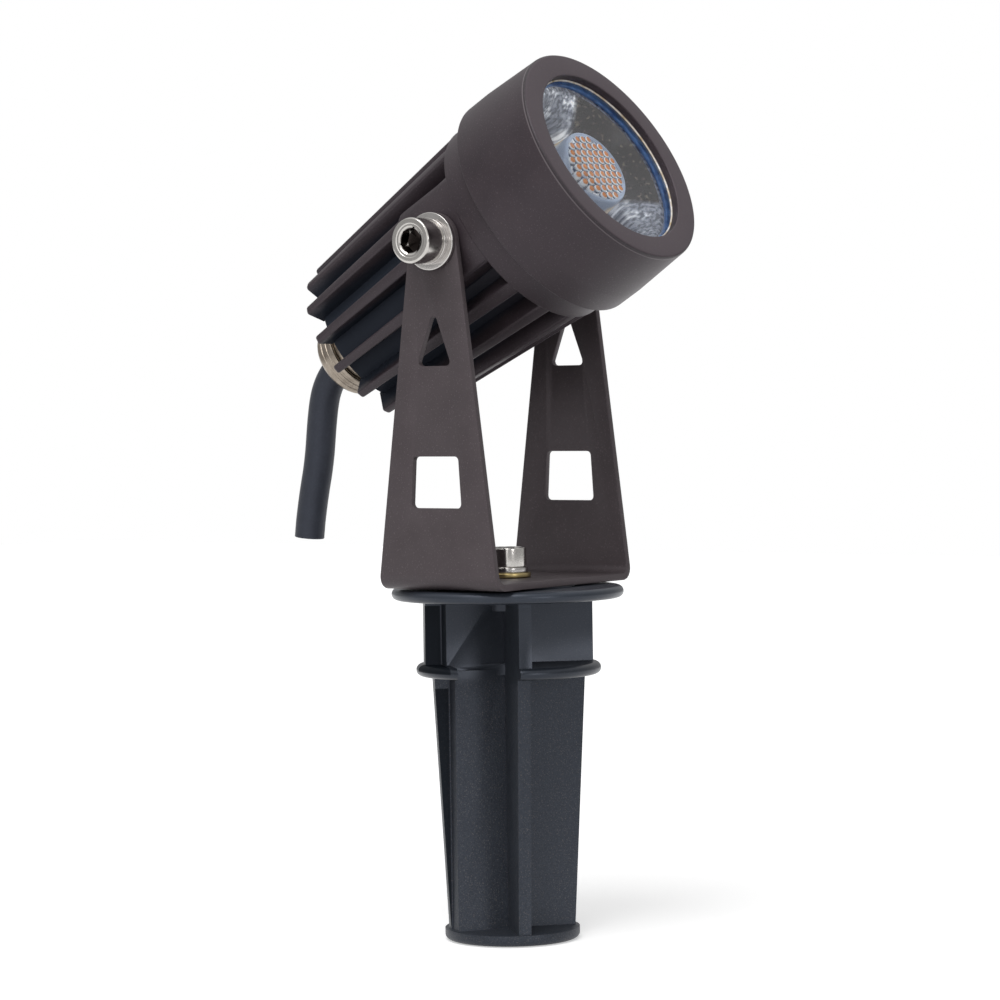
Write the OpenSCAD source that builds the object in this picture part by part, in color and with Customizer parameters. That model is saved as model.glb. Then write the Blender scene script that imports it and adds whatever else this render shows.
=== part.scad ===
// Landscape spotlight: a finned LED head on a bent steel bracket, bolted to a ribbed plastic ground stake.
// Millimetres. +Z is up, the beam points towards -Y and upwards, and the head tilts about an axis along X.
// The origin is the centre of the stake foot's underside.

/* [Stake] */
// Height of the seat that the bracket stands on, above the foot's underside
stake_h = 78; // [70:0.1:90]
// Diameter of the foot disc
foot_d = 29.8; // [28:0.1:34]
// Thickness of the foot disc
foot_t = 2.4; // [1.8:0.1:4]
// Distance that the top flange's rim lies inside the bracket's sides
flange_inset = 0.4; // [0.1:0.1:2]
// Thickness of the top flange
flange_t = 2.6; // [2:0.1:4]
// Diameter of the middle ring
ring_d = 40.8; // [38:0.1:44]
// Thickness of the middle ring
ring_t = 2.6; // [2:0.1:4]
// Distance from the bracket seat down to the middle of the ring
ring_drop = 18.4; // [14:0.1:24]
// Thickness of a rib
rib_t = 2.8; // [2:0.1:3.4]
// Reach of a rib from the axis, above the ring
rib_reach = 18.8; // [16:0.1:19]
// Reach of a rib just below the ring
rib_reach_mid = 17; // [15:0.1:18.5]
// Reach of a rib at the foot
rib_reach_foot = 13.9; // [12:0.1:14]

/* [Bracket] */
// Outer width across the two arms
bracket_w = 52; // [51:0.1:56]
// Thickness of the steel sheet
sheet_t = 1.5; // [1:0.1:1.9]
// Inner radius of the two bends
bend_r = 1.8; // [1:0.1:4]
// Width of an arm at the base, front to back
arm_base_w = 31.6; // [28:0.1:36]
// Width of an arm at the pivot
arm_top_w = 12.4; // [11:0.1:14]
// Height of the tilt axis above the bracket's underside
pivot_h = 74.8; // [72:0.1:90]

/* [Screws] */
// Thread diameter of the two pivot screws
screw_d = 6; // [5:0.1:6.4]
// Diameter of their cylinder heads
screw_head_d = 9.8; // [9:0.1:11]
// Height of their cylinder heads
screw_head_h = 5.8; // [5:0.1:7]
// Diameter of the pivot washers
washer_d = 12.4; // [11.5:0.1:14]
// Thickness of the pivot washers
washer_t = 1; // [0.8:0.1:1.6]
// Thickness of the pivot screws' spring washers
spring_t = 1; // [0.8:0.1:1.6]
// Thread diameter of the base screw
base_screw_d = 5; // [4:0.1:5]
// Diameter of the base screw's cylinder head
base_head_d = 8.5; // [7.6:0.1:9]
// Height of the base screw's cylinder head
base_head_h = 4.4; // [4:0.1:5.4]
// Diameter of the base screw's spring washer
base_spring_d = 9.2; // [8.8:0.1:9.6]
// Thickness of the base screw's spring washer
base_spring_t = 1.2; // [1:0.1:1.4]
// Diameter of the base washer
base_washer_d = 10.4; // [10:0.1:12]

/* [Head] */
// Angle of the beam above horizontal, as stored
beam_tilt = 30.4; // [20:0.1:40]
// Height of the head's axis above the tilt axis, where it crosses over it
head_rise = 1; // [0:0.1:1.2]
// Distance from the tilt axis to the bezel's rear edge
bezel_rear = 13.6; // [13:0.1:15]
// Length of the bezel along the beam
bezel_l = 20.2; // [19.6:0.1:24]
// Distance that the bezel's rear edge stands out past the collar behind it
bezel_step = 2.3; // [2:0.1:4]
// Distance that the bezel narrows on each side towards its front face
bezel_taper = 0.8; // [0.5:0.1:1.6]
// Length of the solid collar behind the bezel
collar_l = 6.4; // [6.2:0.1:7]
// Distance from the tilt axis to the rear face of the core
tail_l = 41.5; // [40:0.1:46]
// Distance that the fins reach past the core's rear face
fin_overhang = 1; // [0.5:0.1:2]
// Number of cooling fins
fin_n = 16; // [8:8:24]
// Thickness of a fin at its rear end
fin_t = 1.9; // [1.4:0.1:2.4]
// Thickness of a fin at the collar
fin_front_t = 3.4; // [2.6:0.1:3.8]
// Diameter over the fins at their rear ends, in the collar's diameter
fin_rear_share = 0.833; // [0.8:0.001:0.9]
// Diameter of the core between the fins at the rear, in the collar's diameter
core_rear_share = 0.653; // [0.65:0.001:0.7]
// Diameter of the core between the fins at the collar, in the collar's diameter
core_front_share = 0.796; // [0.78:0.001:0.84]

/* [Optics] */
// Thickness of the front glass
glass_t = 2.5; // [2:0.1:3]
// Depth of the glass below the bezel's front face
glass_depth = 2; // [1.5:0.1:2.5]
// Width of the glass that lies behind the bezel's lip
glass_lap = 1.4; // [1:0.1:2]
// Diameter of the lens's middle island of small lenses, in the glass's diameter
island_share = 0.418; // [0.36:0.001:0.45]
// Side of the light source's square board, in the collar's diameter
cob_share = 0.449; // [0.44:0.001:0.46]
// Diameter of the light-emitting area, in that board's side
emitter_share = 0.409; // [0.36:0.001:0.44]

/* [Cable gland and cord] */
// Diameter of the rubber cord
cord_d = 6.8; // [6:0.1:7]
// Diameter of the gland's round nut
gland_nut_d = 16.6; // [15.6:0.1:18]
// Length of the gland's round nut
gland_nut_l = 4.9; // [4.4:0.1:7]
// Diameter of the gland's thread
gland_thread_d = 12; // [11:0.1:12.6]

/* [Hidden] */
$fn = 72;
cut = 1;            // overrun of every cut
fit_gap = 0.1;      // gap between pieces that lie in or on each other
turn_play = 0.06;   // play round a shank that a piece turns on
slip_play = 0.1;    // play between flat faces that turn on each other

// Stake: levels and small sizes
seat_t = 0.3;
seat_d = 30;
flange_top = stake_h - seat_t;
flange_low = flange_top - flange_t;
flange_d = bracket_w - 2 * flange_inset;
ring_z = stake_h - ring_drop;
foot_edge_r = 1.1;
rib_turn = 46.6;            // turns the cross of ribs away from the bracket's sides
rib_n = 4;
wall_turn = 10.5;           // angle of the extra wall from the rib beside it, as seen from above
wall_t = 3;
wall_step = 0.8;            // how much thicker that wall is below the ring
wall_skin = 0.1;            // how far the thick lower part stands out of the wall on its other faces
wall_reach = 15.2;
wall_reach_low = 13.6;
ring_cut_w = 14.1;          // the ring is left out between this distance from a rib and the rib itself
boss_d = 9.2;
boss_l = 2.7;               // below the flange
insert_d = 6.8;
insert_l = 5;
insert_waist_share = 0.06;  // how much thinner the insert is at its waist
insert_grip_share = 0.25;   // length of each of its two thick ends
shank_end_gap = 0.4;

// Bracket
bracket_z = stake_h + slip_play;
base_top = bracket_z + sheet_t;
pivot_z = bracket_z + pivot_h;
head_z = pivot_z + head_rise;
bend_out_r = bend_r + sheet_t;
arm_in = bracket_w / 2 - sheet_t;
edge_slope = (arm_base_w - arm_top_w) / 2 / pivot_h;
window_low = 17.7;          // trapezoid window, heights above the underside
window_high = 28.8;
window_share = 0.49;        // width of the trapezoid window in the arm's width
window_corner_r = 1;
eye_low = 48.2;             // triangular window
eye_high = 60.4;
eye_share = 0.47;
eye_corner_r = 0.9;

// Screws
socket_depth_share = 0.5;
head_edge = 0.5;
pivot_bite = 8;             // length of thread inside the housing
socket_share = 0.51;        // across flats, in the head's diameter
washer_bore_gap = 0.2;
spring_slit = 0.8;

// Head, along the beam from the tilt axis
bezel_front = bezel_rear + bezel_l;
collar_rear = bezel_rear - collar_l;
pad_face = arm_in - slip_play;      // flat side pads that the bracket's arms lie on
collar_proud = 0.1;                 // the collar's radius is this much more
collar_d = 2 * (pad_face + collar_proud);
bezel_d = collar_d + 2 * bezel_step;
bezel_face_d = bezel_d - 2 * bezel_taper;
bezel_band = 6;             // straight length at the bezel's rear, before it tapers
edge_r = 0.6;
glass_front = bezel_front - glass_depth;
glass_back = glass_front - glass_t;
thread_step = 0.3;
thread_d = collar_d - 2 * thread_step;
o_ring_d = 1.6;
o_ring_in = 3;
o_ring_groove = o_ring_d - fit_gap;
groove_wall = 0.6;                  // metal left between the groove and the bore
spigot_bore = thread_d - 2 * (o_ring_groove + groove_wall);
glass_d = spigot_bore - 2 * fit_gap;
aperture_d = glass_d - 2 * glass_lap;
gasket_t = 1.2;
gasket_w = 2.2;
lens_top = glass_back - gasket_t;
lens_flange_t = 1.2;
lens_flange_low = lens_top - lens_flange_t;
spigot_gap = 0.4;
spigot_front = lens_flange_low - spigot_gap;
seat_step = 0.3;
seat_h = collar_rear + seat_step;   // shoulder that carries the led plate
plate_t = 3;
plate_top = seat_h + plate_t;
o_ring_h = spigot_front - o_ring_in;

pad_rear = 8.2;
pad_corner_r = 2;
core_rear_d = collar_d * core_rear_share;
core_front_d = collar_d * core_front_share;
fin_rear_d = collar_d * fin_rear_share;
core_wall = 2;
cavity_d = core_rear_d - 2 * core_wall;
rear_wall_t = 4;
cavity_rear = tail_l - rear_wall_t;
fin_rear = tail_l + fin_overhang;
fin_root_share = 0.93;
fin_corner_r = 0.9;
fin_sink = 0.15;            // the fins' outer edges reach the collar this much below its surface
fin_corner_end = -5;        // angle at which the corner meets the fin's sloping edge

// Light source and lens
pad_t = 0.3;
board_t = 1.2;
emitter_t = 0.5;
board_top = plate_top + pad_t + board_t;
lens_foot = board_top + fit_gap;
cob_w = collar_d * cob_share;
emitter_d = cob_w * emitter_share;
island_d = glass_d * island_share;
lens_foot_share = 0.655;    // diameter of the lens's foot in the board's side
lens_cup_gap = 1;
lens_cup_d = emitter_d + 2 * lens_cup_gap;
lens_cup_share = 0.36;
lens_rim_w = 3.1;
lens_rim_d = glass_d - 2 * lens_rim_w;
trough_share = 0.5;
island_drop = 1.9;
lens_steps = 10;
bowl_width_share = 0.35;    // how much of the lens bowl's widening is curved
bowl_rise_share = 0.25;     // how much of its rise is curved
holder_wall = 1.5;
cob_screw_d = 2.5;
cob_screw_head_d = 4.4;
cob_screw_inset = 2.4;
plate_screw_d = 2.5;
plate_screw_head_d = 4.6;
plate_screw_inset = 2.6;    // from the cavity's wall
plate_screw_ring_d = cavity_d + 2 * plate_screw_inset;
plate_screw_n = 3;
screw_head_t = 1.8;
plate_screw_turn = 30;
small_screw_l = 5;
pan_top_share = 0.8;

// Driver
driver_front = -1;
driver_l = 32;
driver_t = 1.6;
driver_groove = 0.7;
driver_rear = driver_front - driver_l;
driver_w = cavity_d + 2 * driver_groove;
lead_d = 1.5;
lead_apart_share = 0.6;     // distance of each lead from the middle, in its diameter
lead_hole_d = 4;
lead_inset = 2.4;
lead_hole_at = cavity_d / 2 - lead_inset;
lead_gap = 1.4;             // from a lead's end to the lens's foot
core_d = 1.8;
core_apart_share = 0.6;
core_lap = 3;               // length of a core along the driver board

// Gland and cord
gland_washer_t = 1.5;
gland_washer_d = 13.4;
gland_neck_l = 4.6;
gland_neck_d = 14.8;
gland_rear = tail_l + gland_washer_t + gland_neck_l + gland_nut_l;
gland_nut_edge = 0.8;
gland_groove_w = 0.5;
gland_nut_lip = 1.2;
gland_step = 0.5;
gland_sleeve_r = gland_thread_d / 2 - gland_step;
seal_t = 1.2;
tail_in = 2;                // how far the cord reaches into the cavity past the gland
cord_sides = 12;

// Route of the cord behind the gland, in the plane x = 0: y, and how far below the head's centre
cord_route = [[47.3, 28.4], [48.9, 30.55], [50.05, 33], [50.75, 35.6], [51.2, 38.25], [51.55, 40.9],
    [51.85, 43.6], [52.15, 46.3], [52.55, 48.95], [53.05, 51.6], [53.65, 54.25], [54.2, 56.9],
    [54.7, 59.55], [55.15, 62.2], [55.5, 64.9], [55.65, 66.2]];
cord_exit = gland_rear * [cos(beam_tilt), sin(beam_tilt)];
cord_path = [for (p = concat([cord_exit], cord_route)) [p[0], head_z - p[1]]];

// Points of an arc about c, from angle a to angle b
function arc(c, r, a, b, n = 6) = [for (i = [0:n]) let (t = a + (b - a) * i / n) c + r * [cos(t), sin(t)]];

// A convex outline with its corners rounded to radius r
function rounded(p, r) = [for (i = [0:len(p) - 1])
    let (q = p[i], u = unit(p[(i + len(p) - 1) % len(p)] - q), v = unit(p[(i + 1) % len(p)] - q),
         half = acos(u * v) / 2, m = unit(u + v), c = q + m * r / sin(half),
         a = atan2(-m[1], -m[0]), s = sign(u[0] * v[1] - u[1] * v[0]))
    each arc(c, r, a + s * (90 - half), a - s * (90 - half), 4)];
function unit(v) = v / norm(v);

// Places its children in the head's own frame: local z is the beam, local y its upward normal
module in_head() translate([0, 0, head_z]) rotate([90 - beam_tilt, 0, 0]) children();

// Places its children on the tilt axis at one side, local z pointing outwards
module at_pivot(side) translate([0, 0, pivot_z]) rotate([90 - beam_tilt, 0, 0]) rotate([0, side * 90, 0])
    children();

module ring(outer_d, inner_d, h) difference() {
    cylinder(d = outer_d, h = h);
    translate([0, 0, -cut]) cylinder(d = inner_d, h = h + 2 * cut);
}

// A disc whose rim is rounded to a half circle
module round_disc(d, t) rotate_extrude() union() {
    square([(d - t) / 2, t]);
    translate([(d - t) / 2, t / 2]) intersection() {
        circle(d = t);
        translate([0, -t]) square(2 * t);
    }
}

// Cylinder-head screw with a hexagon socket: the head stands on z = 0, the shank runs down
module cap_screw(d, head_d, head_h, shank_l) difference() {
    union() {
        translate([0, 0, -shank_l]) cylinder(d = d, h = shank_l);
        cylinder(d = head_d, h = head_h - head_edge);
        translate([0, 0, head_h - head_edge])
            cylinder(d1 = head_d, d2 = head_d - 2 * head_edge, h = head_edge);
    }
    translate([0, 0, head_h * (1 - socket_depth_share)])
        cylinder(d = head_d * socket_share / cos(30), h = head_h, $fn = 6);
}

// Split spring washer for a shank of diameter d
module spring_washer(d, outer_d, t) difference() {
    ring(outer_d, d + 2 * washer_bore_gap, t);
    translate([0, -spring_slit / 2, -cut]) cube([outer_d, spring_slit, t + 2 * cut]);
}

// Small pan-head screw on z = 0
module pan_screw(d, head_d, l) {
    translate([0, 0, -l]) cylinder(d = d, h = l);
    cylinder(d1 = head_d, d2 = head_d * pan_top_share, h = screw_head_t);
}

// Side view of one stake rib, from the axis outwards
module rib_outline(reach, mid, low) polygon([[0, foot_t / 2], [low, foot_t / 2], [mid, ring_z],
    [reach, ring_z], [reach, flange_low + flange_t / 2], [0, flange_low + flange_t / 2]]);

module rib(t, reach, mid, low) rotate([90, 0, 0]) translate([0, 0, -t / 2]) linear_extrude(t)
    rib_outline(reach, mid, low);

module stake() color("#17191d") difference() {
    union() {
        rotate_extrude() difference() {
            square([foot_d / 2, foot_t]);
            translate([foot_d / 2 - foot_edge_r, 0]) difference() {
                translate([0, -cut]) square([foot_edge_r + cut, foot_edge_r + cut]);
                translate([0, foot_edge_r]) circle(r = foot_edge_r);
            }
        }
        for (i = [0:rib_n - 1]) rotate([0, 0, rib_turn + i * 360 / rib_n])
            rib(rib_t, rib_reach, rib_reach_mid, rib_reach_foot);
        for (side = [0, 180]) rotate([0, 0, side + rib_turn + 90 + wall_turn]) {
            rib(wall_t, wall_reach, wall_reach_low - wall_skin, wall_reach_low - wall_skin);
            translate([0, -wall_t / 2 - wall_skin, foot_t / 2])
                cube([wall_reach_low, wall_t + wall_skin + wall_step, ring_z - foot_t / 2]);
        }
        difference() {
            translate([0, 0, ring_z - ring_t / 2]) round_disc(ring_d, ring_t);
            for (side = [0, 180]) rotate([0, 0, side + rib_turn])
                translate([wall_t, -ring_cut_w, ring_z - ring_t])
                    cube([ring_d, ring_cut_w - rib_t / 2, 2 * ring_t]);
        }
        translate([0, 0, flange_low]) round_disc(flange_d, flange_t);
        translate([0, 0, flange_top - cut]) cylinder(d = seat_d, h = seat_t + cut);
        translate([0, 0, flange_low - boss_l]) cylinder(d = boss_d, h = boss_l + cut);
    }
    translate([0, 0, stake_h - insert_l]) cylinder(d = insert_d + 2 * turn_play, h = insert_l + cut);
}

module stake_insert() color("#b9923a") translate([0, 0, stake_h - insert_l]) difference() {
    union() {
        cylinder(d = insert_d * (1 - insert_waist_share), h = insert_l);
        cylinder(d = insert_d, h = insert_l * insert_grip_share);
        translate([0, 0, insert_l * (1 - insert_grip_share)])
            cylinder(d = insert_d, h = insert_l * insert_grip_share);
    }
    translate([0, 0, -cut]) cylinder(d = base_screw_d + 2 * turn_play, h = insert_l + 2 * cut);
}

module base_screw() color("#c9cacc") translate([0, 0, base_seat + base_spring_t])
    cap_screw(base_screw_d, base_head_d, base_head_h,
        base_seat + base_spring_t - stake_h + insert_l - shank_end_gap);
base_seat = base_top + slip_play + washer_t;

module base_spring() color("#c9cacc") translate([0, 0, base_seat])
    spring_washer(base_screw_d, base_spring_d, base_spring_t);

module base_washer() color("#c8b270") translate([0, 0, base_top + slip_play])
    ring(base_washer_d, base_screw_d + 2 * washer_bore_gap, washer_t);

// Side view of an arm, with y up, measured from the bracket's underside
module arm_outline() {
    polygon([[-arm_base_w / 2, 0], [arm_base_w / 2, 0], [arm_top_w / 2, pivot_h], [-arm_top_w / 2, pivot_h]]);
    translate([0, pivot_h]) circle(d = arm_top_w);
}

// Half width of an arm at height z
function arm_half(z) = arm_base_w / 2 - edge_slope * z;

module arm_windows() {
    low = arm_half(window_low) * window_share;
    high = arm_half(window_high) * window_share;
    eye = arm_half(eye_low) * eye_share;
    polygon(rounded([[-low, window_low], [low, window_low], [high, window_high], [-high, window_high]],
        window_corner_r));
    polygon(rounded([[-eye, eye_low], [eye, eye_low], [0, eye_high]], eye_corner_r));
}

module bracket() color("#5d5450") translate([0, 0, bracket_z]) difference() {
    intersection() {
        translate([0, arm_base_w, 0]) rotate([90, 0, 0]) linear_extrude(2 * arm_base_w) difference() {
            bend_profile(bracket_w, pivot_h + arm_top_w, bend_out_r);
            translate([0, sheet_t]) bend_profile(bracket_w - 2 * sheet_t, pivot_h + arm_top_w + cut, bend_r);
        }
        rotate([90, 0, 90]) translate([0, 0, -bracket_w]) linear_extrude(2 * bracket_w) arm_outline();
    }
    rotate([90, 0, 90]) translate([0, 0, -bracket_w]) linear_extrude(2 * bracket_w) arm_windows();
    translate([0, 0, -cut]) cylinder(d = base_screw_d + 2 * turn_play, h = sheet_t + 2 * cut);
    translate([-bracket_w, 0, pivot_h]) rotate([0, 90, 0])
        cylinder(d = screw_d + 2 * turn_play, h = 2 * bracket_w);
}

// A rectangle standing on y = 0 with its two lower corners rounded
module bend_profile(w, h, r) {
    translate([-w / 2, r]) square([w, h - r]);
    translate([-w / 2 + r, 0]) square([w - 2 * r, h]);
    for (side = [-1, 1]) translate([side * (w / 2 - r), r]) circle(r = r);
}

// Side view of one cooling fin: x outwards, y along the beam
module fin_outline() polygon(concat(
    [[core_rear_d / 2 * fin_root_share, -fin_rear]],
    arc([fin_rear_d / 2 - fin_corner_r, -fin_rear + fin_corner_r], fin_corner_r, -90, fin_corner_end),
    [[collar_d / 2 - fin_sink, collar_rear + cut / 2], [core_front_d / 2 * fin_root_share, collar_rear + cut / 2]]));

// One fin, thicker towards the collar, so that the slots keep their width
module fin() rotate([90, 0, 0]) intersection() {
    translate([0, 0, -fin_front_t / 2]) linear_extrude(fin_front_t) fin_outline();
    rotate([0, 90, 0]) linear_extrude(collar_d) polygon([[-fin_t / 2, -fin_rear], [fin_t / 2, -fin_rear],
        [fin_front_t / 2, collar_rear + cut / 2], [-fin_front_t / 2, collar_rear + cut / 2]]);
}

// Solid side of the collar that a pivot screw is driven into
module pivot_pad(side) {
    half = collar_d / 2 * sin(360 / fin_n) + fin_t / 2;
    front = -side * (collar_rear + cut / 2);
    rear = side * pad_rear;
    intersection() {
        rotate([0, side * 90, 0]) linear_extrude(pad_face)
            polygon(rounded([[front, -half], [front, half], [rear, half], [rear, -half]], pad_corner_r));
        translate([0, 0, -pad_rear]) cylinder(d = collar_d, h = pad_rear + collar_rear + cut);
    }
}

module housing() color("#3f3835") difference() {
    in_head() housing_blank();
    for (side = [-1, 1]) at_pivot(side) translate([0, 0, pad_face - pivot_bite - fit_gap])
        cylinder(d = screw_d + 2 * turn_play, h = 2 * pivot_bite);
}

module housing_blank() difference() {
    union() {
        translate([0, 0, -tail_l]) cylinder(d1 = core_rear_d, d2 = core_front_d, h = tail_l + collar_rear);
        translate([0, 0, collar_rear]) cylinder(d = collar_d, h = collar_l);
        translate([0, 0, collar_rear]) cylinder(d = thread_d, h = spigot_front - collar_rear);
        for (i = [0:fin_n - 1]) rotate([0, 0, i * 360 / fin_n]) fin();
        for (side = [-1, 1]) pivot_pad(side);
    }
    translate([0, 0, seat_h]) cylinder(d = spigot_bore, h = spigot_front);
    translate([0, 0, -cavity_rear]) cylinder(d = cavity_d, h = cavity_rear + spigot_front);
    translate([-driver_w / 2, -driver_t / 2 - fit_gap, -cavity_rear])
        cube([driver_w, driver_t + 2 * fit_gap, cavity_rear + driver_front + fit_gap]);
    translate([0, 0, -tail_l - cut]) cylinder(d = gland_thread_d + 2 * turn_play, h = tail_l);
    translate([0, 0, o_ring_h - o_ring_d / 2])
        ring(thread_d + 2 * cut, thread_d - 2 * o_ring_groove, o_ring_d);
    plate_screw_places() translate([0, 0, seat_h - small_screw_l - fit_gap])
        cylinder(d = plate_screw_d + 2 * turn_play, h = 2 * small_screw_l);
}

module bezel() color("#433c39") in_head() rotate_extrude() difference() {
    polygon(concat([[0, bezel_rear], [bezel_d / 2, bezel_rear], [bezel_d / 2, bezel_rear + bezel_band]],
        arc([bezel_face_d / 2 - edge_r, bezel_front - edge_r], edge_r, 0, 90), [[0, bezel_front]]));
    translate([0, bezel_rear - cut])
        square([thread_d / 2 + fit_gap, spigot_front + fit_gap - bezel_rear + cut]);
    translate([0, bezel_rear]) square([glass_d / 2 + fit_gap, glass_front - bezel_rear]);
    translate([0, bezel_rear]) square([aperture_d / 2, bezel_l + cut]);
}

module bezel_o_ring() color("#202020") in_head() translate([0, 0, o_ring_h]) rotate_extrude()
    translate([thread_d / 2 - o_ring_d / 2 + fit_gap, 0]) circle(d = o_ring_d - fit_gap, $fn = 32);

module front_glass() color([0.75, 0.85, 0.95, 0.4]) in_head() translate([0, 0, glass_back])
    cylinder(d = glass_d, h = glass_t);

module glass_gasket() color("#d8dde6") in_head() translate([0, 0, lens_top])
    ring(glass_d, glass_d - 2 * gasket_w, gasket_t);

// Half section of the lens: a bowl that reflects inside itself, with a trough round the middle island
lens_in_r = cob_w * lens_foot_share / 2;
lens_out_r = glass_d / 2 - holder_wall - 2 * fit_gap;
trough_low = lens_top - (lens_top - lens_foot) * trough_share;
island_top = lens_top - island_drop;
function bent(s, share) = s * (1 - share + share * s);
function bowl(i) = let (s = i / lens_steps) [lens_in_r + (lens_out_r - lens_in_r) * bent(s, bowl_width_share),
    lens_foot + (lens_flange_low - lens_foot) * bent(s, bowl_rise_share)];

module lens() color([0.8, 0.85, 0.9, 0.6]) in_head() rotate_extrude() polygon(concat(
    [[lens_cup_d / 2, lens_foot]], [for (i = [0:lens_steps]) bowl(i)],
    [[glass_d / 2, lens_flange_low], [glass_d / 2, lens_top], [lens_rim_d / 2, lens_top],
     [island_d / 2 + fit_gap, trough_low], [island_d / 2, island_top], [0, island_top],
     [0, lens_foot + (lens_top - lens_foot) * lens_cup_share],
     [lens_cup_d / 2, lens_foot + (lens_top - lens_foot) * lens_cup_share]]));

module lens_holder() color("#141414") in_head() translate([0, 0, plate_top])
    ring(glass_d, glass_d - 2 * holder_wall, lens_flange_low - plate_top);

module plate_screw_places() for (i = [0:plate_screw_n - 1])
    rotate([0, 0, plate_screw_turn + i * 360 / plate_screw_n])
        translate([plate_screw_ring_d / 2, 0, 0]) children();

module cob_screw_places() for (side = [-1, 1])
    translate([side, side, 0] * (cob_w / 2 - cob_screw_inset)) children();

module led_plate() color("#a9adb2") in_head() translate([0, 0, seat_h]) difference() {
    cylinder(d = glass_d, h = plate_t);
    plate_screw_places() translate([0, 0, -cut])
        cylinder(d = plate_screw_d + 2 * fit_gap, h = plate_t + 2 * cut);
    cob_screw_places() translate([0, 0, -cut])
        cylinder(d = cob_screw_d + 2 * turn_play, h = plate_t + 2 * cut);
    translate([0, -lead_hole_at, -cut]) cylinder(d = lead_hole_d, h = plate_t + 2 * cut);
}

module plate_screws() color("#b8babd") in_head() translate([0, 0, plate_top]) plate_screw_places()
    pan_screw(plate_screw_d, plate_screw_head_d, plate_t + small_screw_l);

module cob_square(t, d) difference() {
    translate([-cob_w / 2, -cob_w / 2, 0]) cube([cob_w, cob_w, t]);
    cob_screw_places() translate([0, 0, -cut]) cylinder(d = d, h = t + 2 * cut);
    translate([-lead_hole_d / 2, -cob_w / 2 - cut, -cut]) cube([lead_hole_d, lead_notch + cut, t + 2 * cut]);
}
lead_notch = cob_w / 2 - lead_hole_at + lead_hole_d / 2;

module thermal_pad() color("#8f9aa5") in_head() translate([0, 0, plate_top])
    cob_square(pad_t, cob_screw_d + 2 * fit_gap);

module cob_board() color("#e6e7e4") in_head() translate([0, 0, plate_top + pad_t])
    cob_square(board_t, cob_screw_d + 2 * fit_gap);

module cob_emitter() color("#f0c419") in_head() translate([0, 0, board_top])
    cylinder(d = emitter_d, h = emitter_t);

module cob_screws() color("#b8babd") in_head() translate([0, 0, board_top]) cob_screw_places()
    pan_screw(cob_screw_d, cob_screw_head_d, board_t + pad_t + plate_t);

module driver_board() color("#1f6b3a") in_head()
    translate([-driver_w / 2 + fit_gap, -driver_t / 2, driver_rear])
        cube([driver_w - 2 * fit_gap, driver_t, driver_l]);

// Coil, two capacitors, a bridge and a control chip
coil_d = 9;
coil_h = 5;
cap_d = 6.3;
cap_h = 6;
cap_apart_share = 0.75;
cap_up_share = 0.9;
chip = [5, 6, 1.7];
coil_at_share = 0.3;        // places along the driver board
chip_at_share = [0.3, 0.65];
module driver_parts() color("#2b2b2f") in_head() {
    translate([0, driver_t / 2, driver_front - driver_l * coil_at_share]) rotate([-90, 0, 0])
        cylinder(d = coil_d, h = coil_h);
    for (side = [-1, 1])
        translate([side * cap_d * cap_apart_share, driver_t / 2, driver_rear + cap_d * cap_up_share])
            rotate([-90, 0, 0]) cylinder(d = cap_d, h = cap_h);
    for (at = chip_at_share) translate([-chip[0] / 2, -driver_t / 2 - chip[2], driver_rear + driver_l * at])
        cube([chip[0], chip[2], chip[1]]);
}

// Wire from the driver board up through the plate to the edge of the light source's board
module led_lead(side) in_head() {
    at = side * lead_d * lead_apart_share;
    translate([at, -lead_hole_at, driver_front - lead_lap]) {
        cylinder(d = lead_d, h = lead_top);
        rotate([-90, 0, 0]) cylinder(d = lead_d, h = lead_hole_at - driver_t / 2);
        sphere(d = lead_d);
    }
    translate([at, -lead_hole_at, lead_bend]) {
        sphere(d = lead_d);
        rotate([-90, 0, 0]) cylinder(d = lead_d, h = lead_reach);
    }
}
lead_lap = 3;
lead_bend = board_top + lead_d / 2;
lead_top = lead_bend - driver_front + lead_lap;
lead_reach = lead_hole_at - lens_in_r - lead_gap;
module led_lead_red() color("#a8202a") led_lead(-1);
module led_lead_black() color("#1a1a1a") led_lead(1);

module supply_cores() color("#7a4a2a") in_head() for (side = [-1, 1])
    translate([side * core_d * core_apart_share, driver_t / 2 + core_d / 2, driver_rear - core_free])
        cylinder(d = core_d, h = core_free + core_lap);
core_free = cavity_rear - tail_in + driver_rear;    // from the cord's end to the driver board

module gland_washer() color("#1c1c1c") in_head() translate([0, 0, -tail_l - gland_washer_t])
    ring(gland_washer_d, gland_thread_d + 2 * fit_gap, gland_washer_t);

module gland_body() color("#8d8f92") in_head() difference() {
    union() {
        translate([0, 0, -tail_l - gland_washer_t])
            cylinder(d = gland_thread_d, h = gland_washer_t + rear_wall_t);
        translate([0, 0, -gland_rear + gland_nut_l]) cylinder(d = gland_neck_d, h = gland_neck_l);
        translate([0, 0, -gland_rear + gland_nut_lip]) cylinder(r = gland_sleeve_r, h = gland_nut_l);
    }
    translate([0, 0, -gland_rear - cut]) cylinder(d = cord_d + 2 * seal_t, h = gland_nut_l + cut);
    translate([0, 0, -gland_rear - cut]) cylinder(d = cord_d + 2 * fit_gap, h = tail_l);
}

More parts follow.
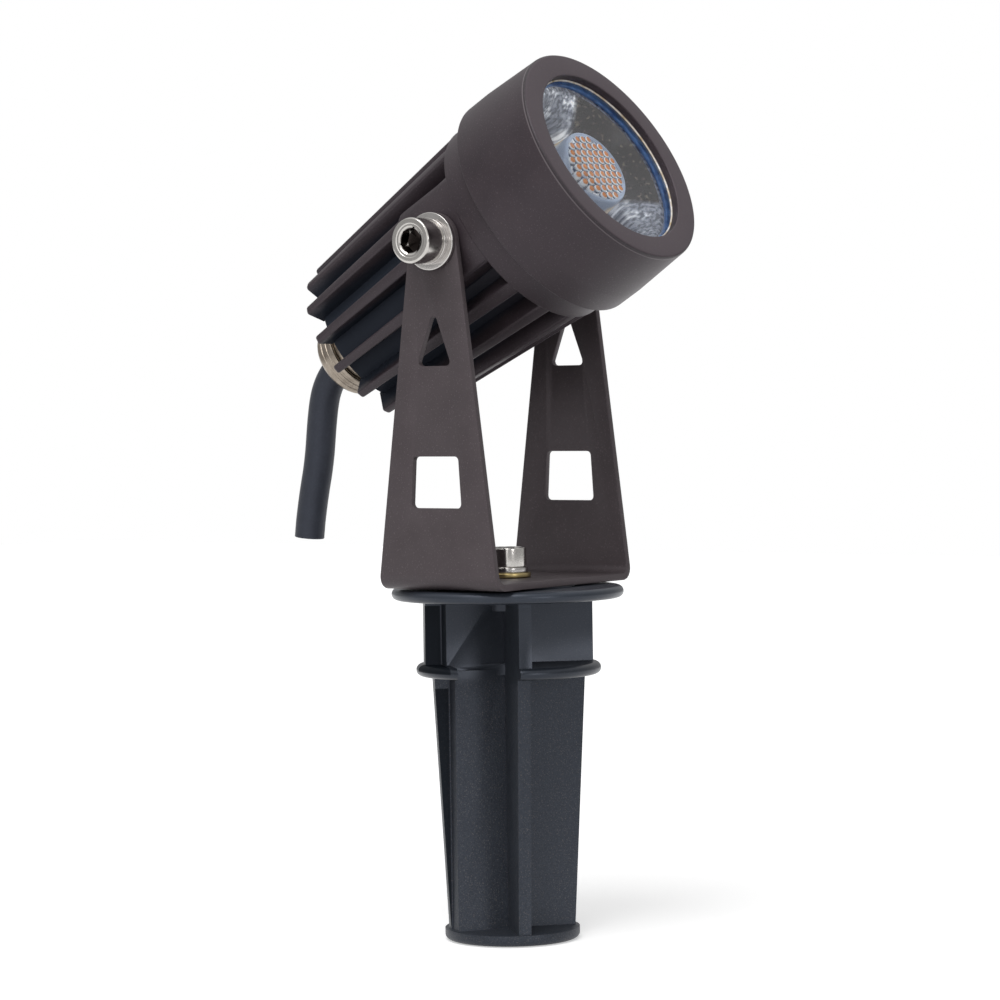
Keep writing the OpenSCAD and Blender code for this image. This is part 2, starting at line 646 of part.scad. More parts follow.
module gland_nut() color("#b9bbbd") in_head() translate([0, 0, -gland_rear]) rotate_extrude() difference() {
    polygon([[cord_d / 2 + fit_gap, 0], [gland_nut_d / 2 - gland_nut_edge, 0],
        [gland_nut_d / 2, gland_nut_edge], [gland_nut_d / 2, gland_nut_l - fit_gap],
        [gland_sleeve_r + fit_gap, gland_nut_l - fit_gap],
        [gland_sleeve_r + fit_gap, gland_nut_lip - fit_gap],
        [cord_d / 2 + fit_gap, gland_nut_lip - fit_gap]]);
    translate([gland_nut_d / 2 - gland_groove_w, gland_nut_l / 2])
        square([2 * gland_groove_w, gland_groove_w]);
}

module gland_seal() color("#262626") in_head() translate([0, 0, -gland_rear + gland_nut_lip])
    ring(cord_d + 2 * seal_t - fit_gap, cord_d + fit_gap / 2, gland_nut_l - gland_nut_lip);

module cord_tail() color("#1e2126") in_head() translate([0, 0, -gland_rear])
    cylinder(d = cord_d, h = gland_rear - cavity_rear + tail_in);

// Tube along the cord's path, square to the path at each point
cord_n = len(cord_path);
function cord_way(i) = unit(cord_path[min(i + 1, cord_n - 1)] - cord_path[max(i - 1, 0)]);
function cord_first(i) = i == 0 ? [cos(beam_tilt), -sin(beam_tilt)] : cord_way(i);
function cord_ring(i) = let (p = cord_path[i], d = cord_first(i)) [for (j = [0:cord_sides - 1])
    let (a = j * 360 / cord_sides, u = cos(a) * cord_d / 2, v = sin(a) * cord_d / 2)
    [v, p[0] - d[1] * u, p[1] + d[0] * u]];
cord_points = [for (i = [0:cord_n - 1]) each cord_ring(i)];
cord_faces = concat([[for (j = [0:cord_sides - 1]) j]],
    [for (i = [0:cord_n - 2]) for (j = [0:cord_sides - 1]) let (k = (j + 1) % cord_sides, a = i * cord_sides)
        [a + j, a + j + cord_sides, a + k + cord_sides, a + k]],
    [[for (j = [cord_sides - 1:-1:0]) (cord_n - 1) * cord_sides + j]]);
module supply_cord() color("#1e2126") polyhedron(cord_points, cord_faces);

pivot_seat = bracket_w / 2 + slip_play + washer_t;
module pivot_screw(side) color("#c9cacc") at_pivot(side) translate([0, 0, pivot_seat + spring_t])
    cap_screw(screw_d, screw_head_d, screw_head_h, pivot_seat + spring_t - pad_face + pivot_bite);
module pivot_screw_left() pivot_screw(-1);
module pivot_screw_right() pivot_screw(1);

module pivot_spring(side) color("#c9cacc") at_pivot(side) translate([0, 0, pivot_seat])
    spring_washer(screw_d, screw_head_d + washer_bore_gap, spring_t);
module pivot_spring_left() pivot_spring(-1);
module pivot_spring_right() pivot_spring(1);

module pivot_washer(side) color("#b4b6b8") at_pivot(side) translate([0, 0, bracket_w / 2 + slip_play])
    ring(washer_d, screw_d + 2 * washer_bore_gap, washer_t);
module pivot_washer_left() pivot_washer(-1);
module pivot_washer_right() pivot_washer(1);

stake();
stake_insert();
base_screw();
base_spring();
base_washer();
bracket();
housing();
bezel();
bezel_o_ring();
front_glass();
glass_gasket();
lens();
lens_holder();
led_plate();
plate_screws();
thermal_pad();
cob_board();
cob_emitter();
cob_screws();
driver_board();
driver_parts();
led_lead_red();
led_lead_black();
supply_cores();
gland_washer();
gland_body();
gland_nut();
gland_seal();
cord_tail();
supply_cord();
pivot_screw_left();
pivot_screw_right();
pivot_spring_left();
pivot_spring_right();
pivot_washer_left();
pivot_washer_right();
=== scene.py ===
# %% [markdown]
# # A landscape spotlight
# The object is a small garden light: a finned round head that tilts in a bent steel bracket, which turns
# on a ribbed plastic stake. The CAD model already holds its exact sizes, so this lesson keeps every
# piece in that frame and adds what the eye looks for: soft edges, small parts and real finishes.

import math

import bmesh
import bpy
import numpy as np
from mathutils import Matrix, Vector


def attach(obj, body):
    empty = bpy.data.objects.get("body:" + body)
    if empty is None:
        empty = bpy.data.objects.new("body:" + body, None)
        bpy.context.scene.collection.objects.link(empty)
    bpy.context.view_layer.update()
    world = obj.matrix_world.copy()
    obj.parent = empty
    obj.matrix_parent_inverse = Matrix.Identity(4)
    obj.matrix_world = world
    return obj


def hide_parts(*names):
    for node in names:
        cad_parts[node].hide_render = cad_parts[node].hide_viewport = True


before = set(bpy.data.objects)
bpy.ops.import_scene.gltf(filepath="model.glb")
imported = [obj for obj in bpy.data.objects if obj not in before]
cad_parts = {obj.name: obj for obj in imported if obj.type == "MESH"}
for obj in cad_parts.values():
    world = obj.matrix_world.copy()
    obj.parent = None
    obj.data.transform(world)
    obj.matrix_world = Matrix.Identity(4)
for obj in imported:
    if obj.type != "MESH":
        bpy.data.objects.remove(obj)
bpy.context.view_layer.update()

# %% [markdown]
# ## Places
# The sizes below are in millimetres, as on a maker's drawing, and one matrix turns them into metres.
# The head is drawn upright, its beam along local Z, and its matrix tips it the way the photograph
# shows. The pivot's matrix has local Z pointing out through the left arm, where the screw goes in.

# %% Matrices that carry a drawing to its place
MM = 0.001
TILT = 30.4
PIVOT_Z = 152.9
HEAD_Z = 153.9
UPRIGHT = Matrix.Scale(MM, 4)
TIP = Matrix.Rotation(math.radians(90 - TILT), 4, "X")
HEAD = UPRIGHT @ Matrix.Translation((0, 0, HEAD_Z)) @ TIP
PIVOT = UPRIGHT @ Matrix.Translation((0, 0, PIVOT_Z)) @ TIP
OUT_LEFT = Matrix.Rotation(math.radians(-90), 4, "Y")
print("head's centre in metres:", tuple(HEAD.translation))

# %% [markdown]
# ## Camera
# A long lens a little above the bracket's foot, on the light's left, gives the photograph's view. The
# angles and the distance come from fitting the bezel's and the stake's ellipses, and the small roll
# is the photographer's.

# %% Camera
STANDS = Vector((-612.5, -435.36, 121.17)) * MM
AZIMUTH, ELEVATION, ROLL = (math.radians(a) for a in (-54.49, 1.864, -0.861))
FOCAL, SENSOR = 122.79, 36
level = math.cos(ELEVATION)
back = Vector((math.sin(AZIMUTH) * level, -math.cos(AZIMUTH) * level, math.sin(ELEVATION)))
right = Vector((math.cos(AZIMUTH), math.sin(AZIMUTH), 0))
turn = Matrix((right, back.cross(right), back)).transposed().to_4x4() @ Matrix.Rotation(ROLL, 4, "Z")
camera = bpy.data.objects.new("camera", bpy.data.cameras.new("camera"))
camera.data.sensor_width = SENSOR
camera.data.lens = FOCAL
camera.matrix_world = Matrix.Translation(STANDS) @ turn
bpy.context.scene.collection.objects.link(camera)
bpy.context.scene.camera = camera
print("camera at", tuple(round(c, 4) for c in camera.location))

# %% [markdown]
# ## Shader maths in plain Python
# A finish is a small network of nodes. Wiring it by hand hides the idea, so one class wraps a socket
# and lets ordinary arithmetic build the Math nodes: `0.4 + 0.1 * cloud` reads as what it does.


# %% One call for any node, and numbers that vary over a surface
def add_node(tree, kind, settings=None, sockets=None):
    """A new node with its settings, and with a value or a link for each socket."""
    made = tree.nodes.new(kind)
    for name, value in (settings or {}).items():
        setattr(made, name, value)
    for name, value in (sockets or {}).items():
        value = value.socket if isinstance(value, Varying) else value
        if isinstance(value, bpy.types.NodeSocket):
            tree.links.new(value, made.inputs[name])
        else:
            made.inputs[name].default_value = value
    return made


class Varying:
    """A number that changes over a surface: + - * / on it add Math nodes."""

    def __init__(self, tree, socket):
        self.tree, self.socket = tree, socket

    def math(self, operation, *values):
        made = add_node(self.tree, "ShaderNodeMath", {"operation": operation}, dict(enumerate(values)))
        return Varying(self.tree, made.outputs[0])

    def __add__(self, other):
        return self.math("ADD", self, other)

    def __sub__(self, other):
        return self.math("SUBTRACT", self, other)

    def __rsub__(self, other):
        return self.math("SUBTRACT", other, self)

    def __mul__(self, other):
        return self.math("MULTIPLY", self, other)

    def __truediv__(self, other):
        return self.math("DIVIDE", self, other)

    __radd__, __rmul__ = __add__, __mul__

    def clamped(self):
        return self.math("MINIMUM", self.math("MAXIMUM", self, 0.0), 1.0)

    def above(self, low, high):
        """0 below low, 1 above high, straight between."""
        return ((self - low) / (high - low)).clamped()

    def between(self, low, full, fading, high):
        """0 up to low, 1 from full to fading, 0 again from high."""
        return self.above(low, full) * (1 - self.above(fading, high))


# %% [markdown]
# A finish starts from one Principled shader. Textures read Object coordinates, which are the model's
# own metres here, so a grain size is simply given in millimetres and is right on every piece.


# %% Finishes
def colour(text):
    """Linear colour of a web colour such as 3a3532."""
    parts = [int(text[i:i + 2], 16) / 255 for i in (0, 2, 4)]
    return tuple(c / 12.92 if c <= 0.04045 else ((c + 0.055) / 1.055) ** 2.4 for c in parts) + (1.0,)


class Finish:
    """A material being built on one Principled shader."""

    def __init__(self, name, tint, roughness, metallic=0.0, **constants):
        self.material = bpy.data.materials.new(name)
        self.material.use_nodes = True
        self.tree = self.material.node_tree
        self.shader = self.tree.nodes["Principled BSDF"]
        self.point = add_node(self.tree, "ShaderNodeTexCoord").outputs["Object"]
        self.set({"Base Color": colour(tint), "Roughness": roughness, "Metallic": metallic})
        self.set({name.replace("_", " ").title().replace("Ior", "IOR"): v for name, v in constants.items()})

    def set(self, values):
        for name, value in values.items():
            value = value.socket if isinstance(value, Varying) else value
            if isinstance(value, bpy.types.NodeSocket):
                self.tree.links.new(value, self.shader.inputs[name])
            else:
                self.shader.inputs[name].default_value = value

    def seen_from(self, centre, turned_by=(0, 0, 0)):
        """Object coordinates in a frame with another centre, for patterns round its axes."""
        sockets = {"Vector": self.point, "Location": centre, "Rotation": turned_by}
        return add_node(self.tree, "ShaderNodeMapping", {"vector_type": "TEXTURE"}, sockets).outputs[0]

    def on_head(self):
        """Object coordinates in the head's own frame."""
        return self.seen_from((0, 0, HEAD_Z * MM), (math.radians(90 - TILT), 0, 0))

    def axis(self, letter, point=None):
        """One coordinate, in millimetres."""
        split = add_node(self.tree, "ShaderNodeSeparateXYZ", None, {0: point or self.point})
        return Varying(self.tree, split.outputs[letter]) * (1 / MM)

    def from_axis(self, point, across="XY", along="Z"):
        """How far out from an axis and how far along it, in millimetres."""
        first, second = (self.axis(letter, point) for letter in across)
        squares = first * first + second * second
        return squares.math("SQRT", squares), self.axis(along, point)

    def noise(self, size, detail=2.0, stretch=(1, 1, 1), point=None):
        """Soft random bumps, each about size millimetres across."""
        at = point or self.point
        if stretch != (1, 1, 1):
            at = add_node(self.tree, "ShaderNodeMapping", None, {"Vector": at, "Scale": stretch}).outputs[0]
        sockets = {"Vector": at, "Scale": 1 / (size * MM), "Detail": detail}
        return Varying(self.tree, add_node(self.tree, "ShaderNodeTexNoise", None, sockets).outputs[0])

    def blend(self, amount, first, second):
        """A colour that goes from the first to the second as amount goes from 0 to 1."""
        first, second = (colour(c) if isinstance(c, str) else c for c in (first, second))
        made = add_node(self.tree, "ShaderNodeMix", {"data_type": "RGBA"}, {0: amount, 6: first, 7: second})
        return made.outputs[2]

    def add_painted_shade(self, shade_amount, tint):
        """Painted shade: as far as the given amount goes, the gloss gives way to a matt dark tint."""
        matt = add_node(self.tree, "ShaderNodeBsdfDiffuse", None, {"Color": colour(tint)}).outputs[0]
        sockets = {0: shade_amount, 1: self.shader.outputs[0], 2: matt}
        mixed = add_node(self.tree, "ShaderNodeMixShader", None, sockets).outputs[0]
        self.tree.links.new(mixed, self.tree.nodes["Material Output"].inputs[0])

    def relief(self, height, depth):
        """Bumps as deep as depth millimetres where height goes from 0 to 1."""
        sockets = {"Height": height, "Distance": depth * MM, "Strength": 1.0}
        self.set({"Normal": add_node(self.tree, "ShaderNodeBump", None, sockets).outputs[0]})


# %% [markdown]
# ## Coated metal
# The head and the bracket carry a satin powder coat: dark bronze on the casting and a little
# greyer on the sheet steel. A coat is never one flat tone. It has a slow change of depth, a fine
# speckle of pale grains and a faint orange-peel surface. On the casting the bezel's front edge gets a
# painted highlight line with a painted shade line in front of it. The bezel's face is painted lighter
# as painted light, and the depths of the slots between the fins get dark, matt painted shade.

# %% Powder coats
# In millimetres on the head: a band is where it starts, is full, fades and ends, a border its two ends.
# The bezel's painted highlight line and painted shade line, then the borders of the slots' painted shade and
# of the outside.
PAINTED_HIGHLIGHT_LINE, PAINTED_SHADE_LINE = (32.75, 32.9, 33.0, 33.15), (33.1, 33.25, 33.6, 33.75)
SLOT_OUT, SLOT_TOP, OUTSIDE = (18.0, 20.4), (6.6, 7.1), (24.0, 24.2)


def powder_coat(name, deep, pale, roughness, fleck, casting=False):
    coat = Finish(name, deep, roughness, specular_tint=colour("fff4fd"))
    cloud = coat.noise(7.0, 3.0)
    grain = coat.noise(0.32, 1.0)
    flecks = grain.above(0.62, 0.74)
    tone = coat.blend(cloud.above(0.3, 0.7), deep, pale)
    if casting:
        reach, height = coat.from_axis(coat.on_head())
        outer = reach.above(*OUTSIDE)
        # Painted highlight: a pale line round the bezel's front edge.
        tone = coat.blend(outer * height.between(*PAINTED_HIGHLIGHT_LINE), tone, "6e676a")
        # Painted shade: a dark line just in front of it.
        tone = coat.blend(outer * height.between(*PAINTED_SHADE_LINE), tone, "1d191b")
        # The bezel's face is painted lighter, as painted light.
        tone = coat.blend(height.above(*PAINTED_SHADE_LINE[2:]), tone, "463d42")
        # Painted shade: the slots' depths between the fins go dark and matt.
        coat.add_painted_shade((1 - reach.above(*SLOT_OUT)) * (1 - height.above(*SLOT_TOP)) * 0.85, "383f4a")
    dulled = roughness + 0.1 * (cloud - 0.5) - 0.06 * flecks
    coat.set({"Base Color": coat.blend(flecks * 0.5, tone, fleck), "Roughness": dulled})
    coat.relief(coat.noise(0.5, 2.0), 0.014)
    return coat.material


bronze_coat = powder_coat("bronze coat", "2d262a", "352d31", 0.45, "584f54", casting=True)
bracket_coat = powder_coat("bracket coat", "453e40", "4c4547", 0.5, "6c6366")
print("made", bronze_coat.name, "and", bracket_coat.name)

# %% [markdown]
# ## Moulded plastic and rubber
# The stake is black polypropylene with a cold cast. Below its ring the mould was spark-eroded, which
# leaves a pebbly skin; pale specks on it are painted glints, more there than above the ring, where it
# is smoother. The flange is painted lighter as painted light. Beside one rib on each side a narrow
# strip is painted as deep shade. The cord is matt rubber.

# %% Stake plastic
# Bands and borders in millimetres on the stake. The last one is a product of two distances, which
# is positive on one side of the rib at both of its ends.
RIB_TURN = math.radians(136.6)
RING_UNDER, FLANGE_UNDER = (56.5, 58.5), (73.8, 74.1)
LOW_STRIP, LOW_STRIP_OUT = (3.0, 3.4, 55.5, 55.7), (13.75, 13.95)
HIGH_STRIP, HIGH_STRIP_OUT = (59.4, 59.6, 73.8, 74.0), (15.35, 15.55)
BESIDE_RIB = (14.0, 18.0)


def stake_finish():
    plastic = Finish("stake plastic", "20242b", 0.42, specular_tint=colour("e4ecff"))
    x, y, z = (plastic.axis(letter) for letter in "XYZ")
    grained = 1 - z.above(*RING_UNDER)
    skin = plastic.noise(0.34, 2.0)
    pale_specks = plastic.noise(0.24, 0.0).above(0.64, 0.76)
    cloud = plastic.noise(11.0, 2.0)
    tone = plastic.blend(cloud.above(0.3, 0.7), "191d23", "22262c")
    grit = plastic.noise(0.4, 1.0).above(0.42, 0.6)
    tone = plastic.blend(grit * (0.1 + 0.5 * grained), tone, "2f333a")
    # The flange is painted lighter, as painted light.
    tone = plastic.blend(z.above(*FLANGE_UNDER) * 0.35, tone, "414751")
    # Pale specks, more below the ring: painted glints on the pebbly skin.
    tone = plastic.blend(pale_specks * (0.06 + 0.2 * grained), tone, "857c76")
    plastic.set({"Base Color": tone, "Roughness": 0.26 + 0.12 * cloud + 0.12 * grained})
    plastic.relief(skin * (0.15 + 0.85 * grained), 0.075)
    # Painted deep shade in a narrow strip beside one rib on each side, below and above the ring.
    cos, sin = math.cos(RIB_TURN), math.sin(RIB_TURN)
    down_rib, off_rib = x * cos + y * sin, y * cos - x * sin
    far_out = down_rib.math("ABSOLUTE", down_rib)
    low = z.between(*LOW_STRIP) * far_out.above(*LOW_STRIP_OUT)
    high = z.between(*HIGH_STRIP) * far_out.above(*HIGH_STRIP_OUT)
    plastic.add_painted_shade((low + high) * (down_rib * off_rib).above(*BESIDE_RIB) * 0.8, "14181d")
    return plastic.material


stake_plastic = stake_finish()


# %% Anything moulded in one colour that is never quite one tone
def two_tone(name, deep, pale, roughness):
    skin = Finish(name, deep, roughness)
    cloud = skin.noise(2.0, 3.0)
    dulled = roughness + 0.1 * (cloud - 0.5)
    skin.set({"Base Color": skin.blend(cloud.above(0.3, 0.7), deep, pale), "Roughness": dulled})
    return skin.material


# %% Cord rubber, seals and the two cores
def rubber(name, deep, pale, roughness):
    bloom = {"specular_tint": colour("e8ecff"), "sheen_weight": 0.25, "sheen_roughness": 0.35}
    skin = Finish(name, deep, roughness, **bloom)
    cloud = skin.noise(3.0, 3.0)
    chalk = skin.noise(0.5, 2.0).above(0.5, 0.8)
    dulled = roughness + 0.12 * (cloud - 0.5)
    skin.set({"Base Color": skin.blend(cloud * 0.5 + chalk * 0.25, deep, pale), "Roughness": dulled})
    skin.relief(skin.noise(0.35, 2.0), 0.012)
    return skin.material


cord_rubber = rubber("cord rubber", "23262d", "3a3e48", 0.5)
seal_rubber = rubber("seal rubber", "141414", "222222", 0.6)
core_brown = rubber("brown core", "5a3018", "6d3d22", 0.4)
core_blue = rubber("blue core", "1c3f7a", "28508f", 0.4)
copper = Finish("copper", "c87a4e", 0.3, 1.0).material

# %% [markdown]
# ## Bare metal
# Stainless screws, a yellowish zinc washer and a nickel gland are all plain metal, and differ in tint,
# in how rough they are and in their fine marks: handling smears on the screws, turning lines on the
# gland, which therefore read the head's own coordinates. The screws' sockets are painted dark, as
# painted shade in their recesses.


# %% Metals
def bare_metal(name, tint, dull, smear=0.12, lines=0.0, stain="8a8580", stained=0.35, socket=None):
    """Plain metal. A socket gives its two axes across, the one down it, its centre and its radius."""
    metal = Finish(name, tint, dull, 1.0)
    cloud = metal.noise(2.2, 3.0)
    tone = metal.blend(cloud.above(0.35, 0.8) * stained, tint, stain)
    if socket:
        across, down, centre, reach = socket
        out, _ = metal.from_axis(metal.seen_from(centre), across, down)
        # The socket is painted dark: painted shade in its recess.
        tone = metal.blend(1 - out.above(reach - 0.15, reach + 0.1), tone, "2a2523")
    metal.set({"Roughness": dull + smear * cloud, "Base Color": tone})
    marks = metal.noise(0.4, 2.0, (0.25, 0.25, 4.0), metal.on_head())
    metal.relief(marks, 0.004 + lines)
    return metal.material


stainless = bare_metal("stainless steel", "c9c6c4", 0.1)
pivot_steel = bare_metal("pivot screw steel", "c9c6c2", 0.12, socket=("YZ", "X", (0, 0, PIVOT_Z * MM), 2.75))
base_steel = bare_metal("base screw steel", "cfccc8", 0.1, socket=("XY", "Z", (0, 0, 0), 2.35))
small_steel = bare_metal("small screws", "bdbbb9", 0.22)
yellow_zinc = bare_metal("yellow zinc", "c4b078", 0.24)
nickel = bare_metal("nickel plate", "a3998d", 0.26, 0.16, 0.012, "5d5147", 0.6)
brass = bare_metal("brass", "b98f45", 0.25)
aluminium = bare_metal("aluminium", "b2b4b6", 0.34)

# %% [markdown]
# ## Drawing helpers
# Nearly every piece is turned or cut from plate. A turned piece is a profile spun about local Z, and
# a plate is an outline with thickness. Real edges are never knife-sharp, so outlines get their
# corners rounded first and plates get their rims bevelled.


# %% Rounded outlines and finished meshes
def softened(points, radius, steps=4, closed=True):
    """The outline with rounded corners. A point may bring its own radius as a third number."""
    out = []
    for i, point in enumerate(points):
        corner = Vector(point[:2])
        near, far = (Vector(points[j % len(points)][:2]) - corner for j in (i - 1, i + 1))
        reach = point[2] if len(point) > 2 else radius
        if reach <= 0 or (not closed and i in (0, len(points) - 1)):
            out.append(tuple(corner))
            continue
        half = near.angle(far) / 2
        cut = min(reach / math.tan(half), 0.45 * near.length, 0.45 * far.length)
        for k in range(steps + 1):
            t = k / steps
            out.append(tuple(corner + near.normalized() * cut * (1 - t) ** 2 + far.normalized() * cut * t**2))
    return out


def smoothed(mesh, sharp):
    mesh.shade_smooth()
    mesh.set_sharp_from_angle(angle=math.radians(sharp))


def finished(name, bm, place, material, sharp=35):
    """A bmesh made into a scene object in its place, smooth but for its sharp edges."""
    bmesh.ops.recalc_face_normals(bm, faces=bm.faces)
    bm.transform(place)
    mesh = bpy.data.meshes.new(name)
    bm.to_mesh(mesh)
    bm.free()
    mesh.materials.append(material)
    smoothed(mesh, sharp)
    piece = bpy.data.objects.new(name, mesh)
    bpy.context.scene.collection.objects.link(piece)
    return piece


def baked(piece, place, sharp):
    """Keeps what the piece's modifiers make of it as its own plain mesh, in its place."""
    shown = piece.evaluated_get(bpy.context.evaluated_depsgraph_get())
    mesh = bpy.data.meshes.new_from_object(shown)
    piece.modifiers.clear()
    piece.data = mesh
    mesh.transform(place)
    smoothed(mesh, sharp)
    print(piece.name, "has", len(mesh.polygons), "faces")
    return piece


# %% Turned pieces
def spin(bm, profile, around=128, sweep=360.0):
    """Spins a closed loop of (radius, height), or a line that starts and ends on the axis, about local Z."""
    open_line = profile[0][0] < 1e-6 and profile[-1][0] < 1e-6
    whole = sweep == 360.0
    columns = []
    for i in range(around if whole else around + 1):
        a = math.radians(sweep * i / around)
        columns.append([bm.verts.new((r * math.cos(a), r * math.sin(a), z)) for r, z in profile])
    for i in range(around):
        one, two = columns[i], columns[(i + 1) % len(columns)]
        for k in range(len(profile) - (1 if open_line else 0)):
            m = (k + 1) % len(profile)
            bm.faces.new((one[k], two[k], two[m], one[m]))
    if not whole:
        bm.faces.new(columns[0])
        bm.faces.new(list(reversed(columns[-1])))
    bmesh.ops.remove_doubles(bm, verts=bm.verts, dist=1e-4)


def turned(name, profile, place, material, around=128):
    bm = bmesh.new()
    spin(bm, profile, around)
    return finished(name, bm, place, material)


# %% Plates
# Stands a plate that was drawn in X and Y upright in X and Z.
STAND = Matrix.Rotation(math.radians(90), 4, "X")


def plate(bm, outline, thickness, rim, place):
    """An outline in local X and Y, as thick to one side as to the other, with rounded rims."""
    low = [bm.verts.new((x, y, -thickness / 2)) for x, y in outline]
    base = bm.faces.new(low)
    raised = bmesh.ops.extrude_face_region(bm, geom=[base])["geom"]
    high = [v for v in raised if isinstance(v, bmesh.types.BMVert)]
    bmesh.ops.translate(bm, verts=high, vec=(0, 0, thickness))
    ends = [f for f in bm.faces if all(v in high for v in f.verts) or all(v in low for v in f.verts)]
    rims = {e for f in ends for e in f.edges}
    if rim > 0:
        bmesh.ops.bevel(bm, geom=list(rims), offset=rim, segments=3, profile=0.5, affect="EDGES")
    bm.transform(place)


# %% [markdown]
# ## Cord
# The cord leaves the gland straight along the head's axis, turns down under its own weight within
# about two diameters and ends in a square cut. It is lofted along one smooth route, the same one the
# CAD solid follows. The cut shows what such a cord is: a jacket round two cores, each with its copper.

# %% The cord's route
CORD_R = 3.4
ROUTE = [
    (45.28, 127.33), (47.3, 125.5), (48.9, 123.35), (50.05, 120.9), (50.75, 118.3), (51.2, 115.65),
    (51.55, 113.0), (51.85, 110.3), (52.15, 107.6), (52.55, 104.95), (53.05, 102.3), (53.65, 99.65),
    (54.2, 97.0), (54.7, 94.35), (55.15, 91.7), (55.5, 89.0), (55.65, 87.7),
]


def smooth_route(points, steps=4):
    """A curve through all the points (Catmull-Rom), steps to a span."""
    points = [np.array(p) for p in points]
    points = [2 * points[0] - points[1], *points, 2 * points[-1] - points[-2]]
    out = []
    for a, b, c, d in zip(points, points[1:], points[2:], points[3:]):
        for t in np.arange(steps) / steps:
            bend, twist = 2 * a - 5 * b + 4 * c - d, 3 * b - a - 3 * c + d
            out.append(0.5 * (2 * b + (c - a) * t + bend * t**2 + twist * t**3))
    return [Vector((0, *p)) for p in (*out, points[-2])]


cord_line = smooth_route(ROUTE)


# %% The jacket and what its cut end shows
def loft(bm, rings):
    """A skin over closed rings of points, closed at both ends."""
    rings = [[bm.verts.new(p) for p in ring] for ring in rings]
    for one, two in zip(rings, rings[1:]):
        for k in range(len(one)):
            m = (k + 1) % len(one)
            bm.faces.new((one[k], one[m], two[m], two[k]))
    bm.faces.new(rings[0])
    bm.faces.new(rings[-1])


def along(line, radii, sides=40, shift=0.0):
    """Rings square to a line in the plane x = 0, one radius for each point, moved along X by shift."""
    rings = []
    for i, (point, radius) in enumerate(zip(line, radii)):
        way = (line[min(i + 1, len(line) - 1)] - line[max(i - 1, 0)]).normalized()
        across, side = Vector((0, -way.z, way.y)), Vector((1, 0, 0))
        turns = (2 * math.pi * k / sides for k in range(sides))
        middle = point + side * shift
        rings.append([middle + (side * math.cos(a) + across * math.sin(a)) * radius for a in turns])
    return rings


# At the cut: the jacket's wall, how far back the cores' bed lies and the bevel, then the cores' own sizes.
WALL, RECESS, CUT_EDGE = 0.8, 0.35, 0.12
CORE_SHIFT, CORE_R, STRANDS_R = 1.2, 1.15, 0.62


def cord_pieces():
    tip, way = cord_line[-1], (cord_line[-1] - cord_line[-2]).normalized()
    line = cord_line[:-1] + [tip - way * CUT_EDGE]
    rings = along(line, [CORD_R] * len(line))
    for back, radius in ((0, CORD_R - CUT_EDGE), (0, CORD_R - WALL), (RECESS, CORD_R - WALL)):
        rings += along([tip - way * (back + 0.01), tip - way * back], [radius] * 2)[1:]
    jacket = bmesh.new()
    loft(jacket, rings)
    pieces = [finished("cord_jacket", jacket, UPRIGHT, cord_rubber)]
    for name, shift, material in (("core_one", CORE_SHIFT, core_brown), ("core_two", -CORE_SHIFT, core_blue)):
        core, strands = bmesh.new(), bmesh.new()
        line = [tip - way * back for back in (1.2, 0.06, 0.02)]
        loft(core, along(line, [CORE_R, CORE_R, CORE_R - 0.1], 24, shift))
        pieces.append(finished(name, core, UPRIGHT, material))
        loft(strands, along([tip - way, tip], [STRANDS_R] * 2, 16, shift))
        pieces.append(finished(name + "_copper", strands, UPRIGHT, copper))
    return pieces


cord_jacket, *cord_ends = cord_pieces()
print("cord pieces:", cord_jacket.name, *(piece.name for piece in cord_ends))


# %% What each new piece stands for
def adopt(piece, body, slot, *nodes):
    """The piece rides on a body and stands in for CAD nodes, which it hides. The slot is not used."""
    if nodes:
        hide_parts(*nodes)
    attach(piece, body)
    return piece


adopt(cord_jacket, "head", "cord_rubber", "supply_cord")
for piece, slot in zip(cord_ends, ("core_brown", "bare_aluminium") * 2):
    adopt(piece, "head", slot)

# %% [markdown]
# ## Repeats with Geometry Nodes
# Sixteen equal fins and two equal screws stand round an axis. One small tree makes such a ring from a
# single drawn piece: it scatters points, puts the piece on each, turned by its share of a full turn,
# and turns the result into plain mesh. Count and material are named inputs of the modifier.


# %% A tree that repeats a piece round local Z
def new_tree(name, *inputs):
    tree = bpy.data.node_groups.new(name, "GeometryNodeTree")
    tree.interface.new_socket("Geometry", in_out="INPUT", socket_type="NodeSocketGeometry")
    for label, kind in inputs:
        tree.interface.new_socket(label, in_out="INPUT", socket_type="NodeSocket" + kind)
    tree.interface.new_socket("Geometry", in_out="OUTPUT", socket_type="NodeSocketGeometry")
    return tree, add_node(tree, "NodeGroupInput").outputs


def close_tree(tree, points, piece, turned_by, material):
    """Puts the piece on the points, makes the copies real and gives them their material."""
    sockets = {"Points": points, "Instance": piece, "Rotation": turned_by}
    copies = add_node(tree, "GeometryNodeInstanceOnPoints", None, sockets).outputs[0]
    real = add_node(tree, "GeometryNodeRealizeInstances", None, {"Geometry": copies}).outputs[0]
    painted = {"Geometry": real, "Material": material}
    done = add_node(tree, "GeometryNodeSetMaterial", None, painted).outputs[0]
    add_node(tree, "NodeGroupOutput", None, {"Geometry": done})


def ring_tree():
    tree, given = new_tree("repeat round an axis", ("Count", "Int"), ("Material", "Material"))
    points = add_node(tree, "GeometryNodePoints", None, {"Count": given["Count"]}).outputs[0]
    share = Varying(tree, add_node(tree, "GeometryNodeInputIndex").outputs[0]) / Varying(tree, given["Count"])
    angle = add_node(tree, "ShaderNodeCombineXYZ", None, {"Z": share * (2 * math.pi)}).outputs[0]
    close_tree(tree, points, given["Geometry"], angle, given["Material"])
    return tree


